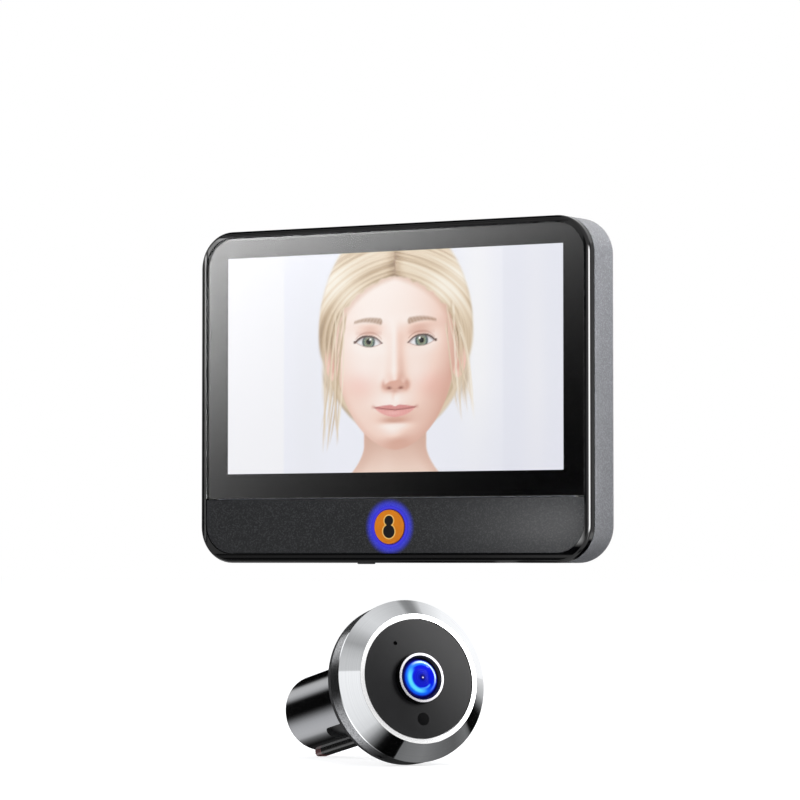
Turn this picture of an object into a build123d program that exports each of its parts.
from build123d import *
from math import atan2, cos, degrees, sin
import os

# Peephole door camera: an indoor monitor hanging on its door bracket, and the outdoor camera unit
# that lies by itself on the surface below it. Millimetres, +Z up, and the monitor faces -Y.
# The origin is on the peephole's axis, at the back face of the bracket's plate.

# Shared clearances
fit = 0.05                    # between pieces that are pressed or glued together
slip = 0.15                   # between a sliding piece and what guides it
overrun = 1.0                 # how far a cutter runs past the face that it opens

# Screen and housing outline, heights measured up from the monitor's bottom edge
screen_width = 95.04          # visible area of a 4.3 inch 16:9 display
screen_height = 53.86
side_border = 7.48            # from the picture to the housing's side
top_border = 6.67
bottom_border = 22.07
corner_radius = 9.0
rim_width = 1.5               # glossy rim beside and above the glass
rim_foot = 2.24               # glossy rim below the lower panel
rim_depth = 2.3
rim_round = 0.7
groove = 0.3                  # shadow gap between the rim and the shell
seam_height = 15.8            # where the glass meets the lower panel
seam_gap = 0.16
glass_chamfer = 0.15          # along the front edges of the glass and the lower panel

# Stack behind the front plane, front to back
front_recess = 0.2            # glass and lower panel sit this far behind the rim
glass_thickness = 0.8
border_thickness = 0.25       # black printed border with its adhesive
border_inset = 0.3            # from the glass's edge to the border's edge
panel_thickness = 0.9
cell_thickness = 1.3          # liquid crystal cell with its polarisers
backlight_thickness = 1.6
tape_thickness = 0.3
battery_thickness = 3.8
battery_air = 0.45            # room for the cell to swell
sheet = 1.2                   # bracket sheet metal
hook_gap = 0.3                # hook lip to the floor that hangs on it
floor_thickness = 1.4
floor_gap = 0.7               # bracket plate to the recess floor
pad_thickness = 0.8
door_gap = 0.3                # the housing's back stays clear of the door

# Display module
bezel_side = 3.48             # module edge beyond the picture
bezel_top = 2.57
bezel_bottom = 7.97
module_corner = 0.8
tray_wall = 0.5
tray_step = 0.1               # the cell stands proud of its tray
ribbon_width = 24.0
ribbon_thickness = 0.15
ribbon_tail = 12.0            # how far the ribbon runs down from the module's edge
connector_height = 3.0
connector_cheek = 1.0         # connector beyond the ribbon at each end

# Front frame
tongue_thickness = 0.9
tongue_length = 2.6           # behind the rim, inside the shell
web_thickness = 1.0
boss_radius = 2.6
boss_inset = 7.5              # boss centre in from the housing's side and bottom
lug_length = 8.0
lug_height = 0.4
lug_depth = 1.0
lug_back = 0.6                # lug in from the tongue's back edge
lug_pitch = 30.0

# Button
button_height = 8.75
button_radius = 4.15
button_proud = 0.3            # cap edge in front of the lower panel
button_dome = 0.2
button_travel = 0.5
ring_width = 0.9
ring_flange = 1.0             # light ring's foot beyond its wall
ring_foot = 0.4
ear_reach = 5.9               # cap's ears, from its axis
ear_height = 2.4
ear_thickness = 0.6
stem_radius = 1.4
switch_side = 6.0
switch_thickness = 0.8
switch_floor = 0.05           # left under the pressed plunger
plunger_radius = 1.5
plunger_clearance = 0.08
plunger_thickness = 0.7
led_side = 0.9
led_thickness = 0.5
led_reach = 5.4               # lamp centre from the button's axis

# Main board
board_gap = 0.6               # display module to board
board_thickness = 1.0
board_inset = 4.0             # board edge in from the housing's side
board_low = 3.0
board_high = 48.0
chip_thickness = 1.2
processor_side = 12.0
memory_width = 8.0
memory_height = 10.0
coil_side = 5.0
coil_thickness = 2.5
chip_gap = 5.2                # card holder to processor
can_width = 17.0
can_height = 13.0
can_thickness = 1.8
can_round = 0.25
can_inset = 24.2              # can's outer edge in from the housing's side
chip_row_height = 38.0
coil_row_height = 14.0

# Battery
battery_inset = 11.0          # pouch edge in from the housing's side
battery_low = 51.0
battery_top_gap = 4.6
battery_round = 1.2
tape_width = 10.0

# Shell
shell_wall = 1.2
back_wall = 1.4
back_round = 2.5
post_radius = 2.0
post_inset = 12.0
post_drop = 3.0               # post centre below the board's top edge
screw_radius = 1.0
screw_head_radius = 1.9
screw_head_height = 1.3
screw_tip_gap = 0.6           # screw tip behind the web
counterbore_floor = 3.2       # shell boss left under the screw's head
cross_length = 2.2
cross_width = 0.5
cross_depth = 0.6

# Speaker and its grille
speaker_width = 11.0
speaker_height = 15.0
speaker_thickness = 3.1
speaker_mesh = 0.3
speaker_low = 11.8
speaker_corner = 2.0
cone_radius = 4.2
cone_depth = 1.0
grille_slot = 1.1
grille_length = 8.4
grille_pitch = 2.4

# Charging socket
usb_x = 27.6
usb_width = 8.94
usb_height = 3.2
usb_length = 7.3
usb_wall = 0.3
usb_recess = 0.3
usb_cavity = 6.2
usb_tongue_width = 6.7
usb_tongue = 0.7
usb_clearance = 0.25

# Power switch
power_x = -10.0
power_body_width = 8.6
power_body_height = 3.6
power_body_depth = 3.4
power_body_low = 2.6
power_travel = 2.0
knob_width = 4.0
knob_depth = 1.9
knob_proud = 0.3              # below the housing
knob_shoulder = 0.2           # knob above the wall's inner face
knob_stem = 1.2
knob_stem_reach = 0.6         # stem inside the switch body

# Memory card slot
card_width = 12.0
card_length = 15.0
card_thickness = 1.7
card_low = 29.0
card_wall = 0.2
card_rim = 1.0                # holder beyond the card, at its sides and its end
card_gap = 1.0

# Bracket recess and cable pocket
plate_width = 64.0
plate_height = 46.0
plate_corner = 4.0
recess_gap = 0.6
lift_travel = 4.5
lift_spare = 0.5
recess_wall = 1.2
pocket_width = 22.0
pocket_low = 18.0             # heights above the monitor's bottom
pocket_high = 50.0
pocket_wall = 1.2
pocket_depth = 2.4            # below the recess floor
socket_width = 12.0
socket_depth = 5.0
socket_length = 4.6           # stands up from the board
socket_height = 27.0
socket_clearance = 0.3
pin_count = 6
pin_pitch = 1.6
pin_side = 0.5
socket_cavity = 3.0
socket_wall = 0.7

# Door bracket
bore_radius = 3.3
slot_centre = 8.6
slot_length = 8.6
slot_width = 3.4
hook_side = 8.0               # hook's middle in from the plate's side
hook_edge = 1.9               # window left by the upper hooks, down from the plate's top
hook_width = 8.0
hook_lip = 3.5
hook_rest = 0.05              # neck to the slot edge that hangs on it
hook_side_gap = 0.3
pad_width = 30.0
pad_height = 9.0
pad_edge = 2.0                # pad in from the plate's edge

# Outdoor camera unit, its depths measured back from the widest edge of the ring
ring_radius = 19.0
bevel_depth = 3.5
bevel_width = 3.8
ring_lip = 0.4
trim_width = 1.1
trim_depth = 2.6
trim_shelf = 1.35
shelf_thickness = 1.0
face_recess = 0.2
face_thickness = 1.0
face_gap = 0.15

# Lens stack
lens_radius = 5.6
lens_proud = 1.25             # housing in front of the face panel
lens_ring_overlap = 0.3
lens_ring_front = 0.35
lens_ring_length = 0.8
lens_lip = 0.4
throat_depth = 1.2
front_lens_radius = 4.25
front_lens_edge = 1.0
front_lens_dome = 1.0
iris_thickness = 0.3
iris_radius = 1.6
rear_lens_edge = 0.5
rear_lens_dome = 0.5
filter_radius = 3.1
filter_thickness = 0.3
filter_gap = 0.4
lens_base_radius = 7.2
lens_base = 0.6
face_hole_gap = 0.3
seal_width = 1.0
seal_thickness = 0.7
sensor_width = 5.0
sensor_height = 3.6
sensor_thickness = 0.8

# Small ports in the face
window_radius = 1.45
window_x = 0.3
window_drop = 9.4
mic_x = -5.25
mic_z = 8.35
mic_hole_radius = 0.5
mic_radius = 2.0
mic_length = 1.5
light_sensor_side = 2.0
light_sensor_thickness = 0.9

# Flange, gasket and circuit board
flange_radius = 18.8
flange_depth = 4.6
flange_floor = 0.8
spigot_step = 1.2
cavity_radius = 13.6
gasket_radius = 18.7
gasket_thickness = 1.4
gasket_bore_gap = 0.3
camera_board_radius = 13.3
camera_board_thickness = 1.0
pry_width = 1.2
pry_length = 1.4
pry_depth = 0.8
pry_angle = 26.0
flange_screw_count = 3
flange_screw_reach = 16.3      # screw centre from the axis
flange_screw_radius = 0.8
flange_screw_head_radius = 1.5
flange_screw_head_height = 0.8
flange_screw_tip = 1.2        # into the ring

# Barrel
barrel_radius = 9.1
barrel_end = 48.5
barrel_wall = 2.2
barrel_neck = 7.9
end_thickness = 9.0
end_chamfer = 0.4
insert_spread = 6.0
insert_radius = 2.1
insert_length = 6.0
thread_radius = 1.25
tip_room = 1.4                # room for the screws' tips beyond the inserts
tip_room_radius = 1.6
exit_width = 4.8
exit_length = 28.9            # from the flange's rear face
exit_depth = 1.5
exit_angle = 57.0             # round from level towards the bottom

# Lead held along the barrel
lead_width = 3.6
lead_thickness = 2.2
lead_round = 0.9
lead_proud = 1.4
plug_length = 3.0

# Where the unit lies
surface_drop = 46.75          # surface below the monitor's bottom
unit_x = 25.6
unit_forward = 34.0           # in front of the picture
unit_turn = 58.8

# Worked out from the sizes above
monitor_width = screen_width + 2 * side_border
monitor_height = bottom_border + screen_height + top_border
half_width = monitor_width / 2
seat_depth = front_recess + glass_thickness + border_thickness
module_back = seat_depth + cell_thickness + backlight_thickness
battery_back = module_back + tape_thickness + battery_thickness
lip_front = battery_back + battery_air
floor_front = lip_front + sheet + hook_gap
floor_back = floor_front + floor_thickness
plate_front = floor_back + floor_gap
plate_back = plate_front + sheet
monitor_depth = plate_back + pad_thickness - door_gap
front_plane = -plate_back
shell_front = rim_depth + groove
back_inner = monitor_depth - back_wall
board_front = module_back + board_gap
board_back = board_front + board_thickness
panel_back = front_recess + panel_thickness
web_back = panel_back + web_thickness
tongue_inset = shell_wall + fit * 2
tongue_back = rim_depth + tongue_length
hook_strip = plate_front - lip_front + hook_lip
hook_up = plate_height / 2 - hook_edge - hook_strip
hook_x = plate_width / 2 - hook_side


def up(height):
    """Turn a height above the monitor's bottom edge into z."""
    return height - monitor_height / 2


def slab(outline, front, back, datum=0.0):
    """Solid of an outline drawn in x and z, between two depths behind the plane y = datum."""
    return extrude(Plane.XZ.offset(-(datum + front)) * outline, -(back - front))


def inside(outline, front, back):
    """Solid of an outline between two depths behind the monitor's front plane."""
    return slab(outline, front, back, front_plane)


def block(low_x, high_x, low_z, high_z):
    """Rectangle between two x values and two z values, as an outline."""
    middle = Pos((low_x + high_x) / 2, (low_z + high_z) / 2)
    return middle * Rectangle(high_x - low_x, high_z - low_z)


def centred(x, z, width, height):
    """Rectangle about a centre, as an outline."""
    return Pos(x, z) * Rectangle(width, height)


def turned(points):
    """Revolve an outline of (radius, depth) points about the Y axis."""
    return revolve(make_face(Polyline(*points, close=True)), Axis.Y)


def domed(radius, rise, apex, thickness, datum=0.0, side=1):
    """Disc with one spherical face, its tip at a depth; side is -1 where the dome looks back."""
    ball_radius = (radius ** 2 + rise ** 2) / (2 * rise)
    ball = Pos(0, datum + apex + side * ball_radius, 0) * Sphere(ball_radius)
    low, high = sorted((apex, apex + side * thickness))
    return slab(Circle(radius), low, high, datum) & ball


def mirrored(shape):
    """A shape with its copy on the other side of x = 0."""
    return shape + mirror(shape, Plane.YZ)


def housing_outline(inset=0.0):
    """The monitor's outer outline, drawn in by inset."""
    width = monitor_width - 2 * inset
    height = monitor_height - 2 * inset
    return RectangleRounded(width, height, corner_radius - inset)


def opening_outline(inset=0.0):
    """The rim's inner opening, which holds the glass and the lower panel."""
    width = monitor_width - 2 * (rim_width + inset)
    low = up(rim_foot + inset)
    high = up(monitor_height - rim_width - inset)
    middle = Pos(0, (low + high) / 2)
    return middle * RectangleRounded(width, high - low, corner_radius - rim_width - inset)


def above_seam(gap):
    """Everything above the seam between glass and lower panel."""
    return block(-half_width, half_width, up(seam_height) + gap, up(monitor_height))


def below_seam(gap):
    """Everything below the seam."""
    return block(-half_width, half_width, up(0), up(seam_height) - gap)


def screen_outline():
    """The visible picture area."""
    return block(
        -screen_width / 2, screen_width / 2, up(bottom_border), up(bottom_border + screen_height)
    )


def module_outline(inset=0.0):
    """The display module's outline, drawn in by inset."""
    half = screen_width / 2 + bezel_side - inset
    low = up(bottom_border - bezel_bottom) + inset
    high = up(bottom_border + screen_height + bezel_top) - inset
    middle = Pos(0, (low + high) / 2)
    return middle * RectangleRounded(2 * half, high - low, module_corner)


def boss_places():
    """Centres of the two housing screws, in x and z."""
    x = half_width - boss_inset
    return [(-x, up(boss_inset)), (x, up(boss_inset))]


def at_places(outline, places):
    """One outline repeated at each place."""
    return Sketch() + [Pos(x, z) * outline for x, z in places]


def front_frame():
    """Glossy rim with the tongue that enters the shell, the panel's web and the screw bosses."""
    rim = inside(housing_outline(), 0, rim_depth)
    rim = fillet(rim.faces().sort_by(Axis.Y)[0].outer_wire().edges(), rim_round)
    rim -= inside(opening_outline(), -overrun, rim_depth + overrun)
    tongue_outline = housing_outline(tongue_inset) - housing_outline(tongue_inset + tongue_thickness)
    tongue = inside(tongue_outline, seat_depth, tongue_back)
    web_outline = housing_outline(tongue_inset) & block(
        -half_width, half_width, up(0), module_foot() - slip
    )
    web = inside(web_outline, panel_back, web_back)
    bosses = inside(at_places(Circle(boss_radius), boss_places()), panel_back, board_front)
    frame = rim + tongue + web + bosses
    frame -= inside(at_places(Circle(screw_radius + fit), boss_places()), web_back, board_front + overrun)
    ring_hole = Pos(0, up(button_height)) * Circle(button_radius + slip + ring_width + fit)
    frame -= inside(ring_hole, 0, web_back + overrun)
    return frame + inside(lug_outline(0.0), tongue_back - lug_back - lug_depth, tongue_back - lug_back)


def lug_outline(growth):
    """Three snap lugs along the tongue's top edge."""
    top = up(monitor_height) - tongue_inset
    lugs = [
        block(x - lug_length / 2 - growth, x + lug_length / 2 + growth, top - fit, top + lug_height + growth)
        for x in (-lug_pitch, 0, lug_pitch)
    ]
    return Sketch() + lugs


def screen_glass():
    """Cover glass over the display."""
    outline = opening_outline(fit) & above_seam(seam_gap / 2)
    glass = inside(outline, front_recess, front_recess + glass_thickness)
    return chamfer(glass.faces().sort_by(Axis.Y)[0].outer_wire().edges(), glass_chamfer)


def screen_border():
    """Black border on the glass's back, open over the picture."""
    outline = opening_outline(border_inset) & above_seam(seam_gap / 2)
    front = front_recess + glass_thickness
    return inside(outline - screen_outline(), front, front + border_thickness)


def lower_panel():
    """Textured strip below the glass, with the button's opening."""
    outline = opening_outline(fit) & below_seam(seam_gap / 2)
    outline -= Pos(0, up(button_height)) * Circle(button_radius + slip + ring_width + fit)
    panel = inside(outline, front_recess, panel_back)
    return chamfer(panel.faces().sort_by(Axis.Y)[0].outer_wire().edges(), glass_chamfer)


def lcd_tray():
    """Backlight tray that holds the display cell."""
    tray = inside(module_outline(), seat_depth + tray_step, module_back)
    return tray - inside(module_outline(tray_wall), -overrun, seat_depth + cell_thickness)


def lcd_panel():
    """The display cell, seated in the tray and bonded behind the border."""
    return inside(module_outline(tray_wall + fit), seat_depth, seat_depth + cell_thickness)


def ribbon_top():
    """Height of the display ribbon's upper end, on the module's back."""
    return module_foot() + ribbon_tail


def display_ribbon():
    """Flat flexible strip from the module's back to the main board's connector."""
    low = module_foot() + connector_height
    strip = block(-ribbon_width / 2, ribbon_width / 2, low, ribbon_top())
    upper = inside(strip, module_back, module_back + ribbon_thickness)
    knee = block(-ribbon_width / 2, ribbon_width / 2, low, low + ribbon_thickness)
    return upper + inside(knee, module_back, board_front - fit)


def ribbon_connector():
    """Low socket on the board's front that grips the ribbon."""
    low = module_foot()
    half = ribbon_width / 2 + connector_cheek
    body = block(-half, half, low, low + connector_height)
    return inside(body, module_back + ribbon_thickness, board_front)


def button_axis(radius):
    """Circle about the button's axis, as an outline."""
    return Pos(0, up(button_height)) * Circle(radius)


def module_foot():
    """z of the display module's lower edge."""
    return up(bottom_border - bezel_bottom)


def light_ring():
    """Clear ring round the button that carries the light of the board's lamps."""
    inner = button_radius + slip
    tube = button_axis(inner + ring_width) - button_axis(inner)
    foot = button_axis(inner + ring_width + ring_flange) - button_axis(inner)
    foot &= block(-half_width, half_width, up(0), module_foot() - slip)
    ring = inside(tube, front_recess - fit, web_back)
    return ring + inside(foot, web_back, web_back + ring_foot)


def cap_seat():
    """Depth of the cap's ears at rest, just behind the light ring's foot."""
    return web_back + ring_foot + slip


def stem_end():
    """Depth of the cap's stem end, where it meets the switch's plunger."""
    return board_front - switch_thickness - button_travel


def button_cap():
    """Round push cap with a low dome, two retaining ears and a stem."""
    tip = front_recess - button_proud - button_dome
    cap = domed(button_radius, button_dome, tip, cap_seat() + ear_thickness - tip, front_plane)
    cap = Pos(0, 0, up(button_height)) * cap
    ears = centred(0, up(button_height), 2 * ear_reach, ear_height)
    cap += inside(ears, cap_seat(), cap_seat() + ear_thickness)
    return cap + inside(button_axis(stem_radius), cap_seat(), stem_end())


def tact_switch():
    """Switch on the board's front, with the well that guides its plunger."""
    outline = centred(0, up(button_height), switch_side, switch_side)
    body = inside(outline, board_front - switch_thickness, board_front)
    well = button_axis(plunger_radius + plunger_clearance)
    return body - inside(well, 0, board_front - switch_floor)


def switch_plunger():
    """The switch's own small button, pushed by the cap's stem."""
    return inside(button_axis(plunger_radius), stem_end(), stem_end() + plunger_thickness)


def button_leds():
    """Four lamps on the board below the light ring."""
    lamps = PolarLocations(led_reach, 4, 45) * Rectangle(led_side, led_side)
    outline = Pos(0, up(button_height)) * (Sketch() + lamps)
    return inside(outline, board_front - led_thickness, board_front)


def main_board():
    """Main circuit board behind the display and the button."""
    half = half_width - board_inset
    outline = Pos(0, up((board_low + board_high) / 2)) * RectangleRounded(
        2 * half, board_high - board_low, corner_radius - board_inset
    )
    outline -= at_places(Circle(screw_radius + slip), boss_places())
    return inside(outline, board_front, board_back)


def board_chips():
    """Processor, memory and power coils on the board's back."""
    row = up(chip_row_height)
    x = -half_width + board_inset + card_length + chip_gap + processor_side / 2
    chips = centred(x, row, processor_side, processor_side)
    chips += centred(x + processor_side, row, memory_width, memory_height)
    placed = inside(chips, board_back, board_back + chip_thickness)
    coils = [
        centred(usb_x + side * (usb_width / 2 + coil_side), up(coil_row_height), coil_side, coil_side)
        for side in (-1, 1)
    ]
    return placed + inside(Sketch() + coils, board_back, board_back + coil_thickness)


def shield_can():
    """Pressed steel can over the radio."""
    x = half_width - can_inset - can_width / 2
    can = inside(centred(x, up(chip_row_height), can_width, can_height),
                 board_back, board_back + can_thickness)
    return fillet(can.faces().sort_by(Axis.Y)[-1].edges(), can_round)


def battery_outline(inset=0.0):
    """The battery's outline."""
    half = half_width - battery_inset - inset
    return block(-half, half, up(battery_low) + inset, up(monitor_height - battery_top_gap) - inset)


def battery():
    """Flat lithium pouch behind the display."""
    pouch = inside(battery_outline(), battery_back - battery_thickness, battery_back)
    return fillet(pouch.edges().filter_by(Axis.X), battery_round)


def battery_tape():
    """Two foam strips that hold the battery to the display's back."""
    half = half_width - battery_inset
    strip = block(half - 2 * tape_width, half - tape_width,
                  up(battery_low) + battery_round, up(monitor_height - battery_top_gap) - battery_round)
    return mirrored(inside(strip, module_back, module_back + tape_thickness))


def recess_outline(growth=0.0):
    """Recess for the bracket, with the room that the lift needs below the plate."""
    half = plate_width / 2 + recess_gap + growth
    low = -plate_height / 2 - lift_travel - lift_spare - growth
    high = plate_height / 2 + recess_gap + growth
    middle = Pos(0, (low + high) / 2)
    return middle * RectangleRounded(2 * half, high - low, plate_corner + growth)


def pocket_outline(growth=0.0):
    """Cable pocket in the recess's floor."""
    half = pocket_width / 2 + growth
    return block(-half, half, up(pocket_low) - growth, up(pocket_high) + growth)


def hook_places():
    """x and z of each hook's neck top, at the middle of its width."""
    return [(x, z) for x in (-hook_x, hook_x) for z in (hook_up, -hook_up)]


def hook_slots():
    """Slots in the recess floor that take the hooks and let the monitor lift off."""
    half = hook_width / 2 + hook_side_gap
    slots = [
        block(x - half, x + half, z - sheet - lift_travel - lift_spare, z + hook_rest)
        for x, z in hook_places()
    ]
    return Sketch() + slots


def speaker_centre():
    """Middle of the speaker, in x and z, halfway between the recess and the shell's side."""
    recess_side = plate_width / 2 + recess_gap + recess_wall
    return -(recess_side + half_width - shell_wall) / 2, up(speaker_low) + speaker_height / 2


def grille_outline():
    """Sound slots, as many as the speaker's cone takes."""
    x, z = speaker_centre()
    steps = int(cone_radius / grille_pitch)
    slots = [
        Pos(x, z + step * grille_pitch) * SlotOverall(grille_length, grille_slot)
        for step in range(-steps, steps + 1)
    ]
    return Sketch() + slots


def usb_axis_depth():
    """Depth of the charging socket's middle."""
    return board_back + usb_height / 2


def usb_tube(growth, low, high):
    """The socket's slotted round section, run upwards between two z values."""
    section = SlotOverall(usb_width + 2 * growth, usb_height + 2 * growth)
    place = Plane.XY.offset(low) * Pos(usb_x, front_plane + usb_axis_depth())
    return extrude(place * section, high - low)


def knob_middle():
    """Depth of the power knob's middle."""
    return board_back + power_body_depth / 2


def upright(x, depth, width, thickness, low, high):
    """Box about an x and a depth, between two z values."""
    place = Plane.XY.offset(low) * Pos(x, front_plane + depth)
    return extrude(place * Rectangle(width, thickness), high - low)


def rear_cover():
    """Textured shell with the bracket's recess, screw bosses, ports and grille."""
    shell = inside(housing_outline(), shell_front, monitor_depth)
    shell = fillet(shell.faces().sort_by(Axis.Y)[-1].outer_wire().edges(), back_round)
    shell -= inside(housing_outline(shell_wall), 0, back_inner)
    shell += inside(recess_outline(recess_wall), floor_front, monitor_depth)
    pocket_floor = floor_back - pocket_depth
    shell += inside(pocket_outline(pocket_wall), pocket_floor - pocket_wall, floor_back)
    shell += inside(at_places(Circle(boss_radius), boss_places()), board_back, back_inner)
    posts = [(x * (half_width - post_inset), up(board_high - post_drop)) for x in (-1, 1)]
    shell += inside(at_places(Circle(post_radius), posts), board_back, back_inner)
    shell -= inside(recess_outline(), floor_back, monitor_depth + overrun)
    shell -= inside(pocket_outline(), pocket_floor, floor_back + overrun)
    shell -= inside(hook_slots(), floor_front - overrun, floor_back + overrun)
    socket_hole = centred(0, up(socket_height), socket_width + 2 * socket_clearance,
                          socket_depth + 2 * socket_clearance)
    shell -= inside(socket_hole, 0, floor_back)
    shell -= inside(at_places(Circle(screw_radius + slip), boss_places()), 0, monitor_depth)
    head = board_back + counterbore_floor
    shell -= inside(at_places(Circle(screw_head_radius + slip), boss_places()), head, monitor_depth + overrun)
    shell -= inside(grille_outline(), back_inner - overrun, monitor_depth + overrun)
    lug_front = tongue_back - lug_back - lug_depth
    shell -= inside(lug_outline(slip), lug_front - slip, tongue_back - lug_back + slip)
    shell -= usb_tube(usb_clearance, up(-overrun), up(shell_wall + overrun))
    knob_room = knob_width + power_travel + 2 * slip
    shell -= upright(power_x, knob_middle(), knob_room, knob_depth + 2 * slip,
                     up(-overrun), up(shell_wall + overrun))
    return shell - card_mouth()


def card_mouth():
    """Slot in the shell's side for the memory card."""
    middle = up(card_low) + card_width / 2
    mouth = centred(-half_width, middle, 2 * (shell_wall + overrun), card_width + 2 * slip)
    return inside(mouth, board_back + card_wall, board_back + card_wall + card_gap)


def housing_screws():
    """Two screws from the back, through shell and board, into the frame's bosses."""
    head_front = board_back + counterbore_floor
    shanks = inside(at_places(Circle(screw_radius), boss_places()), web_back + screw_tip_gap, head_front)
    head = at_places(Circle(screw_head_radius), boss_places())
    heads = inside(head, head_front, head_front + screw_head_height)
    cross = Rectangle(cross_length, cross_width) + Rectangle(cross_width, cross_length)
    heads -= inside(at_places(cross, boss_places()),
                    head_front + screw_head_height - cross_depth, head_front + screw_head_height + overrun)
    return shanks + heads


def speaker():
    """Small box speaker, its cone towards the grille."""
    x, z = speaker_centre()
    back = back_inner - speaker_mesh
    outline = Pos(x, z) * RectangleRounded(speaker_width, speaker_height, speaker_corner)
    body = inside(outline, back - speaker_thickness, back)
    bowl = Pos(x, front_plane + back, z) * Rot(X=-90) * Cone(
        cone_radius / 2, cone_radius, cone_depth, align=(Align.CENTER, Align.CENTER, Align.MAX)
    )
    return body - bowl


def grille_cloth():
    """Thin dust mesh between speaker and grille."""
    x, z = speaker_centre()
    outline = Pos(x, z) * RectangleRounded(speaker_width, speaker_height, speaker_corner)
    return inside(outline, back_inner - speaker_mesh, back_inner)


def usb_socket():
    """Charging socket on the board's back edge, its mouth in the shell's bottom."""
    low = up(usb_recess)
    shell = usb_tube(0, low, low + usb_length) - usb_tube(-usb_wall, low - overrun, low + usb_cavity)
    tongue = upright(usb_x, usb_axis_depth(), usb_tongue_width, usb_tongue,
                     low + usb_recess, low + usb_length)
    return shell + tongue


def power_switch():
    """Slide switch body on the board's back edge."""
    body = upright(power_x, knob_middle(), power_body_width, power_body_depth,
                   up(power_body_low), up(power_body_low + power_body_height))
    channel = upright(power_x, knob_middle(), knob_stem + power_travel + 2 * slip, knob_stem + 2 * slip,
                      up(power_body_low - overrun), up(power_body_low + knob_stem_reach + slip))
    return body - channel


def power_knob():
    """Thumb knob of the power switch, at the on end of its slot."""
    x = power_x - power_travel / 2
    knob = upright(x, knob_middle(), knob_width, knob_depth, up(-knob_proud), up(shell_wall + knob_shoulder))
    grip = knob.faces().sort_by(Axis.Z)[0].edges()
    knob = chamfer(grip, knob_proud / 2)
    stem_top = up(power_body_low + knob_stem_reach)
    stem = upright(x, knob_middle(), knob_stem, knob_stem, up(shell_wall), stem_top)
    return knob + stem


def card_slot():
    """Memory card holder on the board's back, open towards the shell's side."""
    low = -half_width + board_inset
    middle = up(card_low) + card_width / 2
    outline = block(low, low + card_length, up(card_low) - card_rim, up(card_low + card_width) + card_rim)
    holder = inside(outline, board_back, board_back + card_thickness)
    room = centred(low, middle, 2 * (card_length - card_rim), card_width + slip)
    return holder - inside(room, board_back + card_wall, board_back + card_wall + card_gap)


def lead_socket():
    """Header in the cable pocket that takes the camera's lead."""
    z = up(socket_height)
    body = inside(centred(0, z, socket_width, socket_depth), board_back, board_back + socket_length)
    hollow = centred(0, z, socket_width - 2 * socket_wall, socket_depth - 2 * socket_wall)
    mouth = board_back + socket_length
    body -= inside(hollow, mouth - socket_cavity, mouth + overrun)
    first = -(pin_count - 1) / 2
    pins = [centred((first + pin) * pin_pitch, z, pin_side, pin_side) for pin in range(pin_count)]
    return body + inside(Sketch() + pins, mouth - socket_cavity, mouth - socket_wall)


def door_bracket():
    """Folded sheet bracket: plate, peephole bore, screw slots and four lanced hooks."""
    plate = inside(RectangleRounded(plate_width, plate_height, plate_corner), plate_front, plate_back)
    plate -= inside(Circle(bore_radius), 0, plate_back + overrun)
    slot = Pos(slot_centre, 0) * SlotOverall(slot_length, slot_width)
    plate -= mirrored(inside(slot, plate_front - overrun, plate_back + overrun))
    half = hook_width / 2
    for x, z in hook_places():
        window = block(x - half - hook_side_gap, x + half + hook_side_gap, z, z + hook_strip)
        plate -= inside(window, plate_front - overrun, plate_back + overrun)
        plate += inside(block(x - half, x + half, z - sheet, z), lip_front, plate_front)
        plate += inside(block(x - half, x + half, z - sheet, z + hook_lip), lip_front, lip_front + sheet)
    return plate


def bracket_pads():
    """Two adhesive foam pads between the plate and the door."""
    high = plate_height / 2 - pad_edge
    upper = block(-pad_width / 2, pad_width / 2, high - pad_height, high)
    lower = block(-pad_width / 2, pad_width / 2, -high, pad_height - high)
    return inside(upper + lower, plate_back, plate_back + pad_thickness)


# Sizes of the camera unit that follow from its rows above, depths back from its widest edge
ring_front = -bevel_depth
bore_of_ring = ring_radius - bevel_width
trim_inner = bore_of_ring - trim_width
trim_back = ring_front + trim_depth
face_front = ring_front + face_recess
face_back = face_front + face_thickness
face_radius = trim_inner - face_gap
shelf_back = trim_back + shelf_thickness
spigot_radius = flange_radius - spigot_step
base_floor = flange_depth - flange_floor
sensor_board_front = base_floor - camera_board_thickness
gasket_back = flange_depth + gasket_thickness
nose_front = face_front - lens_proud
throat_radius = front_lens_radius + fit
lens_seat = nose_front + throat_depth
front_lens_back = lens_seat + front_lens_edge
rear_lens_front = front_lens_back + iris_thickness
lens_stack_end = rear_lens_front + rear_lens_edge + rear_lens_dome
filter_front = lens_stack_end + filter_gap

# The unit rests on the gasket's rear edge and on the lead's end under the barrel
contact_radius = barrel_radius + lead_proud
rest_tilt = atan2(gasket_radius - contact_radius, barrel_end - gasket_back)
surface_z = up(-surface_drop)
unit_z = surface_z + gasket_radius * cos(rest_tilt) + gasket_back * sin(rest_tilt)
unit_y = front_plane + seat_depth - unit_forward
unit_place = Pos(unit_x, unit_y, unit_z) * Rot(Z=unit_turn) * Rot(X=-degrees(rest_tilt))


def camera_ring():
    """Chrome bevelled ring with the shelf behind its trim."""
    shelf_inner = trim_inner - trim_shelf
    return turned([
        (ring_radius, 0),
        (bore_of_ring, ring_front),
        (bore_of_ring, trim_back),
        (shelf_inner, trim_back),
        (shelf_inner, shelf_back),
        (spigot_radius + fit, shelf_back),
        (spigot_radius + fit, ring_lip),
        (ring_radius, ring_lip),
    ]) - screw_row(flange_screw_radius + fit, shelf_back - flange_screw_tip - fit, ring_lip)


def screw_row(radius, front, back):
    """Cylinders at the flange screws' places, between two depths."""
    row = PolarLocations(flange_screw_reach, flange_screw_count, 90) * Circle(radius)
    return slab(Sketch() + row, front, back)


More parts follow.
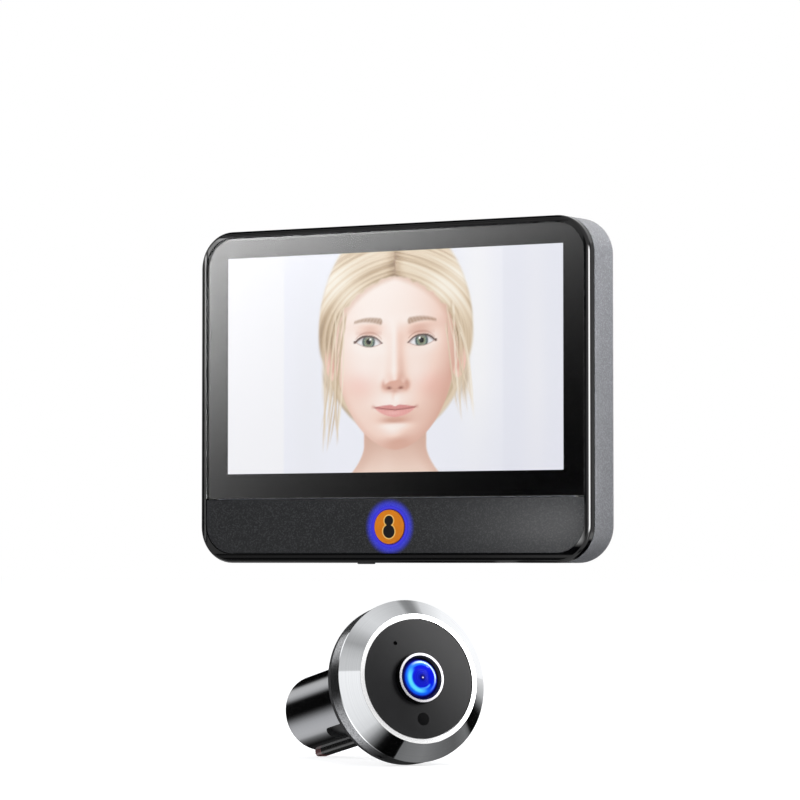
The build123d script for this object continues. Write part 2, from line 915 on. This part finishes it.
def trim_ring():
    """Bright flat ring round the face, with the seat that carries the face panel."""
    outer = bore_of_ring - fit
    seat = trim_inner - trim_shelf
    return turned([
        (outer, ring_front),
        (trim_inner, ring_front),
        (trim_inner, face_back),
        (seat, face_back),
        (seat, trim_back),
        (outer, trim_back),
    ])


def face_panel():
    """Dark face with openings for the lens, the sensor window and the microphone."""
    outline = Circle(face_radius) - Circle(lens_radius + face_hole_gap)
    outline -= Pos(window_x, -window_drop) * Circle(window_radius + fit)
    outline -= Pos(mic_x, mic_z) * Circle(mic_hole_radius)
    return slab(outline, face_front, face_back)


def lens_housing():
    """Black lens barrel on the sensor board, stepped inside for each element."""
    lip = lens_radius - lens_lip
    return turned([
        (lip, nose_front),
        (lens_radius, nose_front),
        (lens_radius, sensor_board_front - lens_base),
        (lens_base_radius, sensor_board_front - lens_base),
        (lens_base_radius, sensor_board_front),
        (filter_radius + fit, sensor_board_front),
        (filter_radius + fit, lens_stack_end),
        (throat_radius, lens_stack_end),
        (throat_radius, lens_seat),
    ])


def lens_ring():
    """Light chrome ring capping the lens barrel."""
    inner = lens_radius - lens_lip
    outer = lens_radius + lens_ring_overlap
    front = nose_front - lens_ring_front
    return turned([
        (inner, front),
        (outer - fit, front),
        (outer, front + fit),
        (outer, front + lens_ring_length),
        (lens_radius, front + lens_ring_length),
        (lens_radius, nose_front),
        (inner, nose_front),
    ])


def front_lens():
    """Domed front element."""
    tip = lens_seat - front_lens_dome
    return domed(front_lens_radius, front_lens_dome, tip, front_lens_dome + front_lens_edge)


def iris_ring():
    """Black aperture between the two elements."""
    ring = Circle(front_lens_radius) - Circle(iris_radius)
    return slab(ring, front_lens_back, rear_lens_front)


def rear_lens():
    """Second element, domed towards the sensor."""
    thickness = rear_lens_edge + rear_lens_dome
    return domed(front_lens_radius, rear_lens_dome, lens_stack_end, thickness, side=-1)


def ir_filter():
    """Infrared filter disc above the sensor."""
    return slab(Circle(filter_radius), filter_front, filter_front + filter_thickness)


def lens_seal():
    """Rubber ring between the face panel and the lens barrel."""
    ring = Circle(lens_radius + seal_width) - Circle(lens_radius)
    return slab(ring, face_back, face_back + seal_thickness)


def image_sensor():
    """Image sensor on the board, on the optical axis."""
    outline = Rectangle(sensor_width, sensor_height)
    return slab(outline, sensor_board_front - sensor_thickness, sensor_board_front)


def sensor_window():
    """Small dark window of the light sensor."""
    return slab(Pos(window_x, -window_drop) * Circle(window_radius), face_front, face_back)


def light_sensor():
    """Light sensor on the board behind its window."""
    outline = Pos(window_x, -window_drop) * Rectangle(light_sensor_side, light_sensor_side)
    return slab(outline, sensor_board_front - light_sensor_thickness, sensor_board_front)


def microphone():
    """Microphone capsule glued behind its hole in the face."""
    return slab(Pos(mic_x, mic_z) * Circle(mic_radius), face_back, face_back + mic_length)


def camera_board():
    """Round circuit board on the flange's floor."""
    return slab(Circle(camera_board_radius), sensor_board_front, base_floor)


def flange_base():
    """Flange that closes the ring from behind, with the board's cavity."""
    base = turned([
        (cavity_radius, shelf_back),
        (spigot_radius, shelf_back),
        (spigot_radius, ring_lip),
        (flange_radius, ring_lip),
        (flange_radius, flange_depth),
        (barrel_neck + fit, flange_depth),
        (barrel_neck + fit, base_floor),
        (cavity_radius, base_floor),
    ])
    head_front = flange_depth - flange_screw_head_height
    base -= screw_row(flange_screw_radius + fit, shelf_back - overrun, flange_depth + overrun)
    base -= screw_row(flange_screw_head_radius + fit, head_front, flange_depth + overrun)
    base -= slab(lead_outline(fit), 0, flange_depth + overrun)
    notch = Rot(Z=-pry_angle) * Pos(0, -flange_radius) * Rectangle(pry_width, 2 * pry_depth)
    return base - slab(notch, flange_depth - pry_length, flange_depth + overrun)


def flange_screws():
    """Screws from behind the flange into the ring."""
    head_front = flange_depth - flange_screw_head_height
    shanks = screw_row(flange_screw_radius, shelf_back - flange_screw_tip, head_front)
    heads = screw_row(flange_screw_head_radius, head_front, flange_depth)
    return shanks + heads


def lead_outline(growth=0.0):
    """The flat lead's section, low on the barrel, with its outer corners rounded."""
    high = -(barrel_radius + lead_proud - lead_thickness) + growth
    low = -(barrel_radius + lead_proud) - growth
    outline = block(-lead_width / 2 - growth, lead_width / 2 + growth, low, high)
    return fillet(outline.vertices().sort_by(Axis.Y)[:2], lead_round + growth)


def flange_gasket():
    """Foam gasket that seals the flange to the door."""
    ring = Circle(gasket_radius) - Circle(barrel_radius + gasket_bore_gap)
    return slab(ring - lead_outline(gasket_bore_gap), flange_depth, gasket_back)


def insert_outline(radius):
    """Two circles at the clamp screws' places."""
    return at_places(Circle(radius), [(-insert_spread, 0), (insert_spread, 0)])


def barrel():
    """Glossy barrel through the door: bore, closed end, lead groove and side cut."""
    bore = barrel_radius - barrel_wall
    inner_end = barrel_end - end_thickness
    tube = turned([
        (bore, base_floor),
        (barrel_neck, base_floor),
        (barrel_neck, flange_depth),
        (barrel_radius, flange_depth),
        (barrel_radius, barrel_end - end_chamfer),
        (barrel_radius - end_chamfer, barrel_end),
        (0, barrel_end),
        (0, inner_end),
        (bore, inner_end),
    ])
    tube -= slab(lead_outline(fit), 0, barrel_end + overrun)
    insert_end = barrel_end - insert_length
    tube -= slab(insert_outline(insert_radius), insert_end, barrel_end + overrun)
    tube -= slab(insert_outline(tip_room_radius), insert_end - tip_room, barrel_end)
    return tube - exit_cut()


def exit_cut():
    """Long flat with a round end beside the lead, from the flange back."""
    straight = exit_length - exit_width / 2
    half = exit_width / 2
    outline = Pos(0, flange_depth + straight / 2) * Rectangle(exit_width, straight)
    outline += Pos(0, flange_depth + straight) * Circle(half)
    cutter = extrude(Plane.XY.offset(barrel_radius - exit_depth) * outline, exit_depth + overrun)
    return Rot(Y=-(90 + exit_angle)) * cutter


def screw_inserts():
    """Two brass inserts in the barrel's end, threaded for the clamp screws."""
    rings = insert_outline(insert_radius) - insert_outline(thread_radius)
    return slab(rings, barrel_end - insert_length, barrel_end)


def camera_lead():
    """Flat lead held in the barrel's groove, from the board to its plug."""
    return slab(lead_outline(), base_floor, barrel_end - plug_length)


def lead_plug():
    """Plug at the lead's end, level with the barrel's end."""
    return slab(lead_outline(), barrel_end - plug_length, barrel_end)


monitor_pieces = [
    front_frame, screen_glass, screen_border, lower_panel, lcd_tray, lcd_panel, display_ribbon,
    ribbon_connector, light_ring, button_cap, tact_switch, switch_plunger, button_leds, main_board,
    board_chips, shield_can, battery, battery_tape, rear_cover, housing_screws, speaker, grille_cloth,
    usb_socket, power_switch, power_knob, card_slot, lead_socket, door_bracket, bracket_pads,
]
unit_pieces = [
    camera_ring, trim_ring, face_panel, lens_housing, lens_ring, front_lens, iris_ring, rear_lens,
    ir_filter, lens_seal, image_sensor, sensor_window, light_sensor, microphone, camera_board,
    flange_base, flange_screws, flange_gasket, barrel, screw_inserts, camera_lead, lead_plug,
]

os.makedirs("parts", exist_ok=True)
for piece in monitor_pieces:
    export_step(piece(), f"parts/{piece.__name__}.step")
for piece in unit_pieces:
    export_step(unit_place * piece(), f"parts/{piece.__name__}.step")
